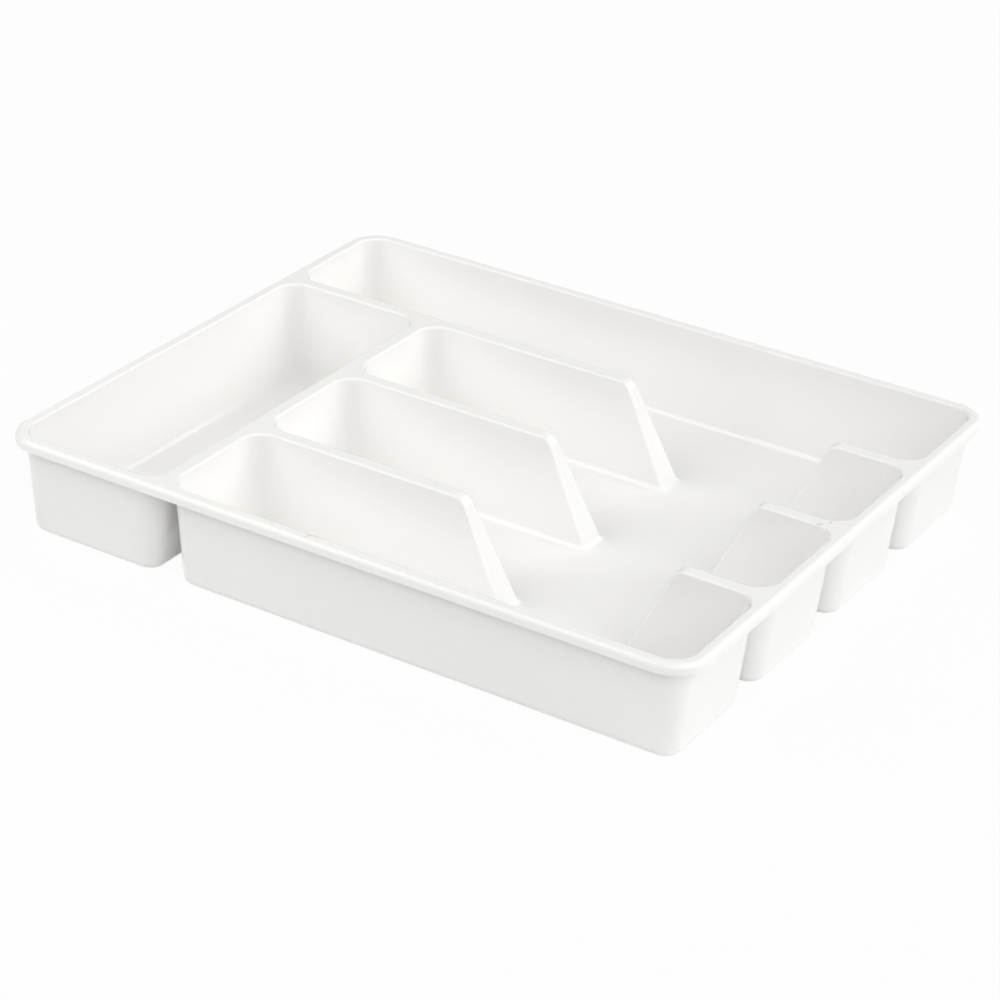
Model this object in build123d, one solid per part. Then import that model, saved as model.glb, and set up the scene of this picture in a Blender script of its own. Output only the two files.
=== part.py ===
from build123d import *
import os
from math import cos, pi, radians, sin, tan

# Overall sizes, in millimetres
tray_length = 310.0
tray_depth = 260.0
tray_height = 44.0
wall = 1.3
draft_angle = 5.0
overrun = 1.0
tolerance = 0.01
halfway_share = 0.5

# Rim: a flat ledge with a turned-down lip
rim_overhang = 3.9
rim_drop = 4.3
rim_corner = 15.0
rim_edge_round = 2.2

# Compartments
side_compartment_width = 67.4
base_round = 4.0
floor_round = 4.4
top_edge_round = 1.1

# Dividers: hollow folds of the moulding, open underneath
divider_top = 6.0
divider_count = 3
open_middle_length = 94.4
long_divider_lean = 27.9
long_divider_round = 7.0
stub_reach = 34.8
stub_lean = 24.8
stub_round = 5.0

# Names of the compartments and dividers, from front to back
compartment_names = ("front_bay", "middle_bay", "back_bay", "back_compartment")
divider_names = ("front", "middle", "back")

# Planes, faces and centre lines worked out from the sizes above
edge_x = tray_length / 2
edge_y = tray_depth / 2
top_z = tray_height
floor_z = wall
inner_margin = rim_overhang + wall
inner_corner = rim_corner - inner_margin
left_x = -tray_length / 2 + inner_margin
right_x = tray_length / 2 - inner_margin
front_y = -tray_depth / 2 + inner_margin
back_y = tray_depth / 2 - inner_margin
half_divider = divider_top / 2
cross_x = left_x + side_compartment_width + half_divider
bay_count = divider_count + 1
bay_width = (back_y - front_y - divider_count * divider_top) / bay_count
bay_pitch = bay_width + divider_top
divider_ys = [front_y + bay_width + half_divider + i * bay_pitch for i in range(divider_count)]
front_divider_y, middle_divider_y, back_divider_y = divider_ys
stub_end_x = right_x - stub_reach
long_end_x = stub_end_x - open_middle_length

# Strips of floor that each wall and divider section keeps beside it
draft_inset = (tray_height - wall) * tan(radians(draft_angle))
foot_margin = draft_inset + floor_round + overrun
wall_strip = inner_margin + foot_margin
divider_strip = half_divider + foot_margin
root_half_width = half_divider + inner_corner


def tub(x0, x1, y0, y1, outset):
    """A drafted, round-cornered block that fills one straight compartment.

    With an outset of 0 it is the compartment's hollow. With an outset of one
    wall it is the outside of the moulding around that hollow."""
    outline = Rectangle(x1 - x0 + 2 * outset, y1 - y0 + 2 * outset)
    outline = fillet(outline.vertices(), inner_corner + outset)
    outline = Pos((x0 + x1) / 2, (y0 + y1) / 2, top_z) * outline
    depth = top_z - floor_z + outset
    return extrude(outline, amount=depth, dir=(0, 0, -1), taper=draft_angle)


def leaning_end(corner_x, lean, radius, side, outset):
    """Three points on a divider's end: where its top stops, where the lean starts, and its foot."""
    slope = radians(lean)
    high = top_z - outset
    low = floor_z - outset
    corner = corner_x - side * (outset / cos(slope) - outset * tan(slope))
    reach = (radius - outset) * tan((pi / 2 - slope) / 2)
    ledge = (corner - side * reach, high)
    start = (corner + side * reach * sin(slope), high - reach * cos(slope))
    foot = (corner + side * (high - low) * tan(slope), low)
    return ledge, start, foot


def open_middle(outset):
    """The space between the long dividers' ends and the stubs, drawn from the front and run to the back."""
    left = leaning_end(long_end_x, long_divider_lean, long_divider_round, 1, outset)
    right = leaning_end(stub_end_x, stub_lean, stub_round, -1, outset)
    profile = make_face(
        Curve()
        + [
            TangentArc(left[0], left[1], tangent=(1, 0)),
            Polyline(left[1], left[2], right[2], right[1]),
            TangentArc(right[0], right[1], tangent=(-1, 0)),
            Line(right[0], left[0]),
        ]
    )
    start_y = front_divider_y - bay_pitch / 2
    upright = Plane(origin=(0, start_y, 0), x_dir=(1, 0, 0), z_dir=(0, -1, 0))
    return extrude(upright * profile, amount=-divider_count * bay_pitch)


def basins(outset):
    """Both basins: the side compartment, and the cutlery bays joined with the back compartment."""
    bays_x = cross_x + half_divider
    side = tub(left_x, cross_x - half_divider, front_y, back_divider_y - half_divider, outset)
    main = tub(left_x, right_x, back_divider_y + half_divider, back_y, outset)
    for y in divider_ys:
        main += tub(bays_x, right_x, y - half_divider - bay_width, y - half_divider, outset)
    main += open_middle(outset)
    return side, main


def rim_cap():
    """The rim's ledge and turned-down lip, as a shallow cap over the whole tray."""
    base = Pos(0, 0, top_z - rim_drop)
    cap = extrude(base * RectangleRounded(tray_length, tray_depth, rim_corner), amount=rim_drop)
    cap = fillet(cap.faces().sort_by(Axis.Z)[-1].edges(), rim_edge_round)
    inside = RectangleRounded(tray_length - 2 * wall, tray_depth - 2 * wall, rim_corner - wall)
    hollow = extrude(base * inside, amount=rim_drop - wall)
    hollow = fillet(hollow.faces().sort_by(Axis.Z)[-1].edges(), rim_edge_round - wall)
    return cap - hollow


def fold_edges(part):
    """Sharp edges along the top of every compartment. The short ones across a divider's end are smooth."""
    top_face = part.faces().sort_by(Axis.Z)[-1]
    edges = ShapeList(edge for wire in top_face.inner_wires() for edge in wire.edges())
    return edges.filter_by(lambda edge: edge.length > divider_top + tolerance)


def end_edges(part):
    """Edges down both sides of each divider's leaning end."""
    first_x = leaning_end(long_end_x, long_divider_lean, long_divider_round, 1, 0)[0][0]
    last_x = leaning_end(stub_end_x, stub_lean, stub_round, -1, 0)[0][0]
    found = ShapeList()
    for edge in part.edges():
        middle = edge @ halfway_share
        spread = half_divider + (top_z - middle.Z) * tan(radians(draft_angle))
        offset = min(abs(abs(middle.Y - y) - spread) for y in divider_ys)
        clear_of_ends = floor_z + tolerance < middle.Z < top_z - tolerance
        if offset < tolerance and first_x < middle.X < last_x and clear_of_ends:
            found.append(edge)
    return found


def floor_edges(part):
    """Edges where the compartments' walls meet the floor."""
    def on_floor(edge):
        return max(abs((edge @ share).Z - floor_z) for share in (0, halfway_share, 1)) < tolerance
    return part.edges().filter_by(on_floor)


def moulding():
    """The whole tray in one wall thickness, fuller at the foot, before it is divided into its sections."""
    side_outside, main_outside = basins(wall)
    side_hollow, main_hollow = basins(0)
    whole = rim_cap()
    for outside in (side_outside, main_outside):
        underside = outside.faces().sort_by(Axis.Z)[0]
        whole += fillet(underside.edges(), base_round)
    whole -= side_hollow
    whole -= main_hollow
    whole = fillet(fold_edges(whole) + end_edges(whole), top_edge_round)
    return fillet(floor_edges(whole), floor_round)


def column(x0, x1, y0, y1):
    """A block over one patch of the tray's plan, as tall as the tray."""
    size = (x1 - x0, y1 - y0, tray_height + 2 * overrun)
    return Pos((x0 + x1) / 2, (y0 + y1) / 2, tray_height / 2) * Box(*size)


def corner_regions():
    """The four rounded corners of the tray."""
    regions = {}
    for depth_name, y0 in (("front", -edge_y), ("back", edge_y - rim_corner)):
        for side_name, x0 in (("left", -edge_x), ("right", edge_x - rim_corner)):
            name = f"{depth_name}_{side_name}_corner"
            regions[name] = [column(x0, x0 + rim_corner, y0, y0 + rim_corner)]
    return regions


def wall_regions():
    """The straight stretches of wall and rim between the corners and the dividers' roots."""
    inner_x = edge_x - wall_strip
    inner_y = edge_y - wall_strip
    corner_x = edge_x - rim_corner
    corner_y = edge_y - rim_corner
    side_end_y = back_divider_y - root_half_width
    back_start_y = back_divider_y + root_half_width
    regions = {
        "side_compartment_front_wall": [column(-corner_x, cross_x - root_half_width, -edge_y, -inner_y)],
        "front_wall": [column(cross_x + root_half_width, corner_x, -edge_y, -inner_y)],
        "back_wall": [column(-corner_x, corner_x, inner_y, edge_y)],
        "side_compartment_left_wall": [column(-edge_x, -inner_x, -corner_y, side_end_y)],
        "back_compartment_left_wall": [column(-edge_x, -inner_x, back_start_y, corner_y)],
    }
    starts = [-corner_y] + [y + root_half_width for y in divider_ys]
    ends = [y - root_half_width for y in divider_ys] + [corner_y]
    for name, y0, y1 in zip(compartment_names, starts, ends):
        regions[f"{name}_end_wall"] = [column(inner_x, edge_x, y0, y1)]
    return regions


def divider_regions():
    """Each divider and stub with its spread root, where it joins a wall or another divider."""
    corner_x = edge_x - rim_corner
    corner_y = edge_y - rim_corner
    cross_left = cross_x - divider_strip
    cross_start = cross_x - root_half_width
    cross_end = cross_x + root_half_width
    top_root_y = back_divider_y - root_half_width
    cross = [
        column(cross_start, cross_end, -edge_y, -corner_y),
        column(cross_left, cross_x + divider_strip, -corner_y, top_root_y),
        column(cross_start, cross_end, top_root_y, back_divider_y + divider_strip),
    ]
    for y in (front_divider_y, middle_divider_y):
        cross.append(column(cross_left, cross_end, y - root_half_width, y + root_half_width))
    back_y0 = back_divider_y - divider_strip
    back_y1 = back_divider_y + divider_strip
    regions = {
        "cross_divider": cross,
        "side_compartment_back_wall": [
            column(-edge_x, -corner_x, top_root_y, back_divider_y + root_half_width),
            column(-corner_x, cross_start, back_y0, back_y1),
        ],
    }
    foot_reach = floor_round + overrun
    foot_x = leaning_end(long_end_x, long_divider_lean, long_divider_round, 1, 0)[2][0] + foot_reach
    stub_x = leaning_end(stub_end_x, stub_lean, stub_round, -1, 0)[2][0] - foot_reach
    for name, y in zip(divider_names, divider_ys):
        y0 = y - divider_strip
        y1 = y + divider_strip
        root = column(corner_x, edge_x, y - root_half_width, y + root_half_width)
        regions[f"{name}_divider"] = [column(cross_end, foot_x, y0, y1)]
        regions[f"{name}_stub"] = [root, column(stub_x, corner_x, y0, y1)]
    return regions


def floor_regions():
    """What is left between the walls and dividers: the flat floors."""
    return {
        "side_compartment_floor": [column(-edge_x, cross_x, -edge_y, back_divider_y)],
        "cutlery_floor": [column(cross_x, edge_x, -edge_y, back_divider_y)],
        "back_compartment_floor": [column(-edge_x, edge_x, back_divider_y, edge_y)],
    }


def sections():
    """Every named section of the tray, cut from the one moulding so that they meet face to face."""
    rest = moulding()
    pieces = {}
    for regions in (corner_regions(), wall_regions(), divider_regions(), floor_regions()):
        for name, blocks in regions.items():
            region = blocks[0]
            for block in blocks[1:]:
                region += block
            pieces[name] = rest & region
            rest -= region
    return pieces


os.makedirs("parts", exist_ok=True)
for node, shape in sections().items():
    export_step(shape, f"parts/{node}.step")
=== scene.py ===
"""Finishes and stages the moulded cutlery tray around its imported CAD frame."""

import math

import bpy
from mathutils import Matrix, Vector


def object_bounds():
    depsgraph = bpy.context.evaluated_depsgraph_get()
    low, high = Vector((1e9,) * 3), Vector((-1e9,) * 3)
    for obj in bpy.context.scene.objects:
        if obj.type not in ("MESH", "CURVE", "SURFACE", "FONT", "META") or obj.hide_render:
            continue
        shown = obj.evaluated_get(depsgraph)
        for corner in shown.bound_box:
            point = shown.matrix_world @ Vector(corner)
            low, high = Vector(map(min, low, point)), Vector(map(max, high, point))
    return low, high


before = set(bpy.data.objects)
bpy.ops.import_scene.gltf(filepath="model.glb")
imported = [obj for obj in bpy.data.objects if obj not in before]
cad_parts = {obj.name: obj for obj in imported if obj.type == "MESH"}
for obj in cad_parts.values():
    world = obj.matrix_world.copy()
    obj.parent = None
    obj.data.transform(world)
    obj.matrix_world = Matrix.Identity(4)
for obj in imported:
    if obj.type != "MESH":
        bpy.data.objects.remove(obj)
cad_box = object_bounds()

bl_info = {
    "name": "Moulded Cutlery Tray",
    "version": (1, 0, 0),
    "blender": (4, 5, 0),
    "location": "3D View > Sidebar > Tray",
    "description": "Gives a moulded cutlery tray its plastic finish and its stage",
    "category": "Object",
}

MM = 0.001
top_z = cad_box[1].z

# Stage: plain white, how white the floor looks, how wide a lamp is for its distance, and the
# soft lamps, each with its direction, its distance in metres and its power in watts
WHITE = (1, 1, 1, 1)
WHITE_SHARE = 0.95
LAMP_SPREAD = 0.94
LAMPS = (
    ("right_lamp", (1.0, 0.0, 0.55), 3.2, 30.0),
    ("back_right_lamp", (1.0, 1.0, 1.19), 3.2, 41.0),
    ("front_left_lamp", (-1.0, -1.0, 1.19), 1.6, 13.3),
    ("front_right_lamp", (1.0, -1.0, 1.19), 3.2, 32.0),
)

# Floor: its reach each way and the size of its grain in metres, how rough it is, and how much
# the grain changes that
FLOOR_REACH = 6.0
FLOOR_GRAIN_SIZE = 4 * MM
FLOOR_ROUGHNESS = 0.7
FLOOR_GRAIN_ROUGHNESS = 0.1

# Camera: the width that its focal length is given for, in millimetres, and how near it sees, in
# metres
SENSOR_WIDTH = 36.0
NEAREST_SEEN = 0.05

# Sizes of the plastic's tones and marks in metres, and how far below the rim's top it is rubbed
CLOUD_SIZE = 60 * MM
PATCH_SIZE = 9 * MM
SCUFF_SIZE = 7 * MM
SCRATCH_SIZE = 0.5 * MM
SCRATCH_STRETCH = (0.06, 1, 1)
RUBBED_DEPTH = 1.2 * MM

# The values of noise between which each tone or mark fades in, and the middle value of noise
CLOUD_FADE = (0.35, 0.75)
SCUFF_FADE = (0.66, 0.78)
SCRATCH_FADE = (0.6, 0.72)
NOISE_MIDDLE = 0.5

# How much the marks change the plastic's colour and roughness, and how strongly it bends light
SCUFF_TONE = 0.3
PATCH_ROUGHNESS = 0.06
SCRATCH_ROUGHNESS = 0.12
SCUFF_ROUGHNESS = 0.15
PLASTIC_IOR = 1.49
PLASTIC_NAME = "White moulded plastic"

# Knocks that use has left on the top edges. A knock fades from nothing at its edge, at 1, to its
# full depth inside. Each has its centre and half sizes in millimetres, and its turn in degrees.
KNOCK_FADE = (1.0, 0.3)
KNOCKS = (
    ((-9.0, -126.4), (2.6, 0.45), 62.0),
    ((-6.6, -125.4), (2.2, 0.4), 8.0),
    ((141.5, -2.2), (1.6, 0.7), 25.0),
    ((144.5, 1.4), (1.1, 0.5), 80.0),
)


# Shader maths

# The sockets of a Mix node that take and give colours, which have the same names as others
FIRST_COLOUR = 6
SECOND_COLOUR = 7
MIXED_COLOUR = 2


class Number:
    """A shader socket that holds one number and can be used in Python sums."""

    def __init__(self, bench, socket):
        self.bench = bench
        self.socket = socket

    def _math(self, operation, *values):
        settings = {"operation": operation}
        return self.bench.number("ShaderNodeMath", settings, dict(enumerate(values)))

    def __add__(self, other):
        return self._math("ADD", self, other)

    def __radd__(self, other):
        return self._math("ADD", other, self)

    def __sub__(self, other):
        return self._math("SUBTRACT", self, other)

    def __rsub__(self, other):
        return self._math("SUBTRACT", other, self)

    def __mul__(self, other):
        return self._math("MULTIPLY", self, other)

    def __rmul__(self, other):
        return self._math("MULTIPLY", other, self)

    def between(self, low, high):
        """0 at low, 1 at high and a smooth step from one to the other."""
        settings = {"interpolation_type": "SMOOTHSTEP"}
        inputs = {"Value": self, "From Min": low, "From Max": high}
        return self.bench.number("ShaderNodeMapRange", settings, inputs)


class Bench:
    """Builds the nodes of one material, or of the world around the tray."""

    def __init__(self, name, kind="materials"):
        self.owner = getattr(bpy.data, kind).new(name)
        self.owner.use_nodes = True
        self.tree = self.owner.node_tree
        self.tree.nodes.clear()
        self.ending = "ShaderNodeOutputMaterial" if kind == "materials" else "ShaderNodeOutputWorld"

    def node(self, kind, settings=None, inputs=None):
        """A node of one kind: its settings are made first, then its values and links."""
        made = self.tree.nodes.new(kind)
        for key, value in (settings or {}).items():
            setattr(made, key, value)
        for key, value in (inputs or {}).items():
            source = value.socket if isinstance(value, Number) else value
            if isinstance(source, bpy.types.NodeSocket):
                self.tree.links.new(source, made.inputs[key])
            else:
                made.inputs[key].default_value = source
        return made

    def number(self, kind, settings=None, inputs=None, output=0):
        """The same, for a node that gives one number."""
        return Number(self, self.node(kind, settings, inputs).outputs[output])

    def point(self, stretch=(1, 1, 1)):
        """Where on the tray a point is, in metres, with each axis multiplied by stretch."""
        place = self.node("ShaderNodeTexCoord").outputs["Object"]
        inputs = {0: place, 1: stretch}
        return self.node("ShaderNodeVectorMath", {"operation": "MULTIPLY"}, inputs).outputs[0]

    def noise(self, size, detail=2.0, roughness=0.5, stretch=(1, 1, 1)):
        """Soft noise from 0 to 1, with features about size across, in metres."""
        inputs = {
            "Vector": self.point(stretch),
            "Scale": 1 / size,
            "Detail": detail,
            "Roughness": roughness,
        }
        return self.number("ShaderNodeTexNoise", None, inputs)

    def axis(self, name):
        """One coordinate of the point on the tray, in metres."""
        return self.number("ShaderNodeSeparateXYZ", None, {0: self.point()}, name)

    def spot(self, centre, reach, turn):
        """1 inside a small oval mark seen from above, fading to 0 at its edge.

        centre and reach are in millimetres, and turn is in radians."""
        east = self.axis("X") - centre[0] * MM
        north = self.axis("Y") - centre[1] * MM
        along = (east * math.cos(turn) + north * math.sin(turn)) * (1 / (reach[0] * MM))
        across = (north * math.cos(turn) - east * math.sin(turn)) * (1 / (reach[1] * MM))
        return (along * along + across * across).between(*KNOCK_FADE)

    def blend(self, factor, first, second):
        """One colour turning into another as factor goes from 0 to 1."""
        inputs = {"Factor": factor, FIRST_COLOUR: first, SECOND_COLOUR: second}
        return self.node("ShaderNodeMix", {"data_type": "RGBA"}, inputs).outputs[MIXED_COLOUR]

    def seen(self):
        """1 where the camera, a reflection or clear glass shows the surface, or else 0."""
        outputs = self.node("ShaderNodeLightPath").outputs
        kinds = ("Camera", "Glossy", "Transmission", "Diffuse")
        camera, glossy, through, soft = (Number(self, outputs[f"Is {kind} Ray"]) for kind in kinds)
        return (camera + glossy + through) * (1 - soft)

    def shaders(self, factor, first, second):
        """One shader turning into another as factor goes from 0 to 1."""
        inputs = {0: factor, 1: first.outputs[0], 2: second.outputs[0]}
        return self.node("ShaderNodeMixShader", None, inputs)

    def surface(self, shader):
        """Ends the nodes with this shader."""
        self.node(self.ending, None, {"Surface": shader.outputs[0]})


# Settings


class PlasticFinish(bpy.types.PropertyGroup):
    """Colour and surface of the moulded plastic."""

    colour: bpy.props.FloatVectorProperty(
        name="Colour",
        description="Colour of the clean white plastic",
        subtype="COLOR",
        size=3,
        min=0,
        max=1,
        default=(0.968, 0.963, 0.948),
    )
    shade: bpy.props.FloatVectorProperty(
        name="Shade",
        description="Slightly warmer tone where the plastic flowed last",
        subtype="COLOR",
        size=3,
        min=0,
        max=1,
        default=(0.962, 0.955, 0.936),
    )
    scuff: bpy.props.FloatVectorProperty(
        name="Scuff",
        description="Duller tone of faint scuffs and knocks",
        subtype="COLOR",
        size=3,
        min=0,
        max=1,
        default=(0.8, 0.795, 0.77),
    )
    roughness: bpy.props.FloatProperty(
        name="Roughness",
        description="Roughness of the polished surface",
        subtype="FACTOR",
        min=0,
        max=1,
        default=0.1,
    )
    grain_size: bpy.props.FloatProperty(
        name="Grain size",
        description="Distance between the fine dimples that the mould leaves",
        subtype="DISTANCE",
        unit="LENGTH",
        default=0.6 * MM,
    )
    grain_depth: bpy.props.FloatProperty(
        name="Grain depth",
        description="Depth of those dimples",
        subtype="DISTANCE",
        unit="LENGTH",
        precision=6,
        default=0.012 * MM,
    )
    wave_size: bpy.props.FloatProperty(
        name="Wave size",
        description="Length of the slow waves that shrinking leaves in flat walls",
        subtype="DISTANCE",
        unit="LENGTH",
        default=22 * MM,
    )
    wave_depth: bpy.props.FloatProperty(
        name="Wave depth",
        description="Depth of those waves",
        subtype="DISTANCE",
        unit="LENGTH",
        precision=6,
        default=0.08 * MM,
    )
    knock_depth: bpy.props.FloatProperty(
        name="Knock depth",
        description="Depth of the small knocks on the top edges",
        subtype="DISTANCE",
        unit="LENGTH",
        precision=6,
        default=0.25 * MM,
    )


class StageSettings(bpy.types.PropertyGroup):
    """Camera, lamps and floor."""

    eye: bpy.props.FloatVectorProperty(
        name="Eye",
        description="Where the camera stands",
        subtype="TRANSLATION",
        unit="LENGTH",
        size=3,
        default=(0.56725, -0.9671, 0.59957),
    )
    turn: bpy.props.FloatProperty(
        name="Turn",
        description="Direction that the camera faces, anticlockwise from the tray's depth",
        subtype="ANGLE",
        unit="ROTATION",
        default=math.radians(30.47),
    )
    dip: bpy.props.FloatProperty(
        name="Dip",
        description="How far the camera looks down",
        subtype="ANGLE",
        unit="ROTATION",
        default=math.radians(27.81),
    )
    tilt: bpy.props.FloatProperty(
        name="Tilt",
        description="Small sideways tilt of the camera",
        subtype="ANGLE",
        unit="ROTATION",
        default=math.radians(3.03),
    )
    lens: bpy.props.FloatProperty(
        name="Lens",
        description="Focal length on a 36 mm sensor",
        unit="CAMERA",
        default=111.8,
    )
    floor_colour: bpy.props.FloatVectorProperty(
        name="Floor colour",
        description="Colour of the pale floor",
        subtype="COLOR",
        size=3,
        min=0,
        max=1,
        default=(0.8, 0.8, 0.8),
    )
    sky_strength: bpy.props.FloatProperty(
        name="Sky strength",
        description="Strength of the even light from all around",
        min=0,
        default=0.1,
    )


# Materials


def moulded_plastic(finish):
    """White polished polypropylene with the mould's grain and slow waves, and the marks of use.

    The marks are faint scuffs, scratches on the rubbed top edges, and a few knocks."""
    bench = Bench(PLASTIC_NAME)
    cloud = bench.noise(CLOUD_SIZE, detail=3.0).between(*CLOUD_FADE)
    clean = bench.blend(cloud, (*finish.colour, 1), (*finish.shade, 1))
    grain = bench.noise(finish.grain_size, detail=1.0)
    waves = bench.noise(finish.wave_size, detail=1.0)
    patches = bench.noise(PATCH_SIZE, detail=4.0, roughness=0.6) - NOISE_MIDDLE
    rubbed = bench.axis("Z").between(top_z - RUBBED_DEPTH, top_z)
    scratches = bench.noise(SCRATCH_SIZE, detail=3.0, stretch=SCRATCH_STRETCH)
    scratches = scratches.between(*SCRATCH_FADE)
    scuffs = bench.noise(SCUFF_SIZE, detail=5.0, roughness=0.7).between(*SCUFF_FADE)
    knocks = sum(bench.spot(centre, reach, math.radians(turn)) for centre, reach, turn in KNOCKS)
    knocks = knocks * rubbed
    colour = bench.blend(scuffs * SCUFF_TONE + knocks, clean, (*finish.scuff, 1))
    worn = rubbed * scratches * SCRATCH_ROUGHNESS + scuffs * SCUFF_ROUGHNESS
    roughness = finish.roughness + patches * PATCH_ROUGHNESS + worn
    height = grain * finish.grain_depth + waves * finish.wave_depth - knocks * finish.knock_depth
    bump = bench.node("ShaderNodeBump", None, {"Height": height, "Distance": 1.0, "Strength": 1.0})
    inputs = {
        "Base Color": colour,
        "Roughness": roughness,
        "Normal": bump.outputs["Normal"],
        "IOR": PLASTIC_IOR,
    }
    bench.surface(bench.node("ShaderNodeBsdfPrincipled", None, inputs))
    return bench.owner


def pale_floor(colour):
    """A pale floor that looks white, apart from the tray's soft shadow."""
    bench = Bench("Pale floor")
    grain = bench.noise(FLOOR_GRAIN_SIZE, detail=2.0) - NOISE_MIDDLE
    roughness = FLOOR_ROUGHNESS + grain * FLOOR_GRAIN_ROUGHNESS
    inputs = {"Base Color": (*colour, 1), "Roughness": roughness}
    lit = bench.node("ShaderNodeBsdfPrincipled", None, inputs)
    white = bench.node("ShaderNodeEmission", None, {"Color": WHITE, "Strength": 1.0})
    bench.surface(bench.shaders(bench.seen() * WHITE_SHARE, lit, white))
    return bench.owner


# Operators


def finish_nodes(context, endings):
    """Puts the moulded plastic on every CAD node whose name ends in one of the given words."""
    finish = context.scene.tray_finish
    plastic = bpy.data.materials.get(PLASTIC_NAME) or moulded_plastic(finish)
    found = [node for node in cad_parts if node.endswith(endings)]
    if not found:
        raise RuntimeError(f"the frame has no node that ends in any of {endings}")
    for node in found:
        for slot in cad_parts[node].material_slots:
            slot.material = plastic


class TRAY_OT_corners(bpy.types.Operator):
    """Finish the rounded corners"""

    bl_idname = "tray.corners"
    bl_label = "Corners"

    def execute(self, context):
        finish_nodes(context, ("corner",))
        return {"FINISHED"}


class TRAY_OT_walls(bpy.types.Operator):
    """Finish the straight walls and their rim"""

    bl_idname = "tray.walls"
    bl_label = "Walls"

    def execute(self, context):
        finish_nodes(context, ("wall",))
        return {"FINISHED"}


class TRAY_OT_dividers(bpy.types.Operator):
    """Finish the hollow dividers and the stubs"""

    bl_idname = "tray.dividers"
    bl_label = "Dividers and stubs"

    def execute(self, context):
        finish_nodes(context, ("divider", "stub"))
        return {"FINISHED"}


class TRAY_OT_floors(bpy.types.Operator):
    """Finish the floors of the compartments"""

    bl_idname = "tray.floors"
    bl_label = "Floors"

    def execute(self, context):
        finish_nodes(context, ("floor",))
        return {"FINISHED"}


class TRAY_OT_stage(bpy.types.Operator):
    """Set up the floor, the lamps and the camera"""

    bl_idname = "tray.stage"
    bl_label = "Stage"

    def execute(self, context):
        stage = context.scene.tray_stage
        scene = context.scene
        scene.view_settings.view_transform = "Standard"
        self.floor(scene, stage)
        self.lamps(scene)
        self.sky(scene, stage)
        self.camera(scene, stage)
        return {"FINISHED"}

    def floor(self, scene, stage):
        """The pale floor that the tray stands on."""
        signs = ((-1, -1), (1, -1), (1, 1), (-1, 1))
        corners = [(x * FLOOR_REACH, y * FLOOR_REACH, 0) for x, y in signs]
        mesh = bpy.data.meshes.new("stage_floor")
        mesh.from_pydata(corners, [], [(0, 1, 2, 3)])
        mesh.materials.append(pale_floor(stage.floor_colour))
        floor = bpy.data.objects.new("stage_floor", mesh)
        scene.collection.objects.link(floor)

    def lamps(self, scene):
        """The soft lamps, each turned to the tray."""
        for name, direction, distance, power in LAMPS:
            lamp = bpy.data.lights.new(name, "AREA")
            lamp.shape = "DISK"
            lamp.size = distance * LAMP_SPREAD
            lamp.energy = power
            held = bpy.data.objects.new(name, lamp)
            held.location = Vector(direction).normalized() * distance
            held.rotation_euler = held.location.to_track_quat("Z", "Y").to_euler()
            scene.collection.objects.link(held)

    def sky(self, scene, stage):
        """The faint even light from all around, which looks white itself."""
        bench = Bench("Studio", "worlds")
        light = {"Color": WHITE, "Strength": stage.sky_strength}
        lit = bench.node("ShaderNodeBackground", None, light)
        white = bench.node("ShaderNodeBackground", None, {"Color": WHITE, "Strength": 1.0})
        bench.surface(bench.shaders(bench.seen(), lit, white))
        scene.world = bench.owner

    def camera(self, scene, stage):
        """The camera, at the photograph's viewing angle."""
        lens = bpy.data.cameras.new("camera")
        lens.sensor_width = SENSOR_WIDTH
        lens.lens = stage.lens
        lens.clip_start = NEAREST_SEEN
        camera = bpy.data.objects.new("camera", lens)
        facing = Matrix.Rotation(stage.turn, 4, "Z")
        facing @= Matrix.Rotation(math.pi / 2 - stage.dip, 4, "X")
        facing @= Matrix.Rotation(stage.tilt, 4, "Z")
        camera.matrix_world = Matrix.Translation(stage.eye) @ facing
        scene.collection.objects.link(camera)
        scene.camera = camera


class TRAY_PT_panel(bpy.types.Panel):
    """Lists the tray's operators"""

    bl_idname = "TRAY_PT_panel"
    bl_label = "Moulded tray"
    bl_space_type = "VIEW_3D"
    bl_region_type = "UI"
    bl_category = "Tray"

    def draw(self, context):
        for operator in OPERATORS:
            self.layout.operator(operator.bl_idname)


OPERATORS = (TRAY_OT_corners, TRAY_OT_walls, TRAY_OT_dividers, TRAY_OT_floors, TRAY_OT_stage)
CLASSES = (PlasticFinish, StageSettings, *OPERATORS, TRAY_PT_panel)


def register():
    """Adds the classes and their settings to Blender."""
    for kind in CLASSES:
        bpy.utils.register_class(kind)
    bpy.types.Scene.tray_finish = bpy.props.PointerProperty(type=PlasticFinish)
    bpy.types.Scene.tray_stage = bpy.props.PointerProperty(type=StageSettings)


def unregister():
    """Takes them out again."""
    del bpy.types.Scene.tray_stage
    del bpy.types.Scene.tray_finish
    for kind in reversed(CLASSES):
        bpy.utils.unregister_class(kind)


def main():
    register()
    bpy.ops.tray.corners()
    bpy.ops.tray.walls()
    bpy.ops.tray.dividers()
    bpy.ops.tray.floors()
    bpy.ops.tray.stage()


if __name__ == "__main__":
    main()
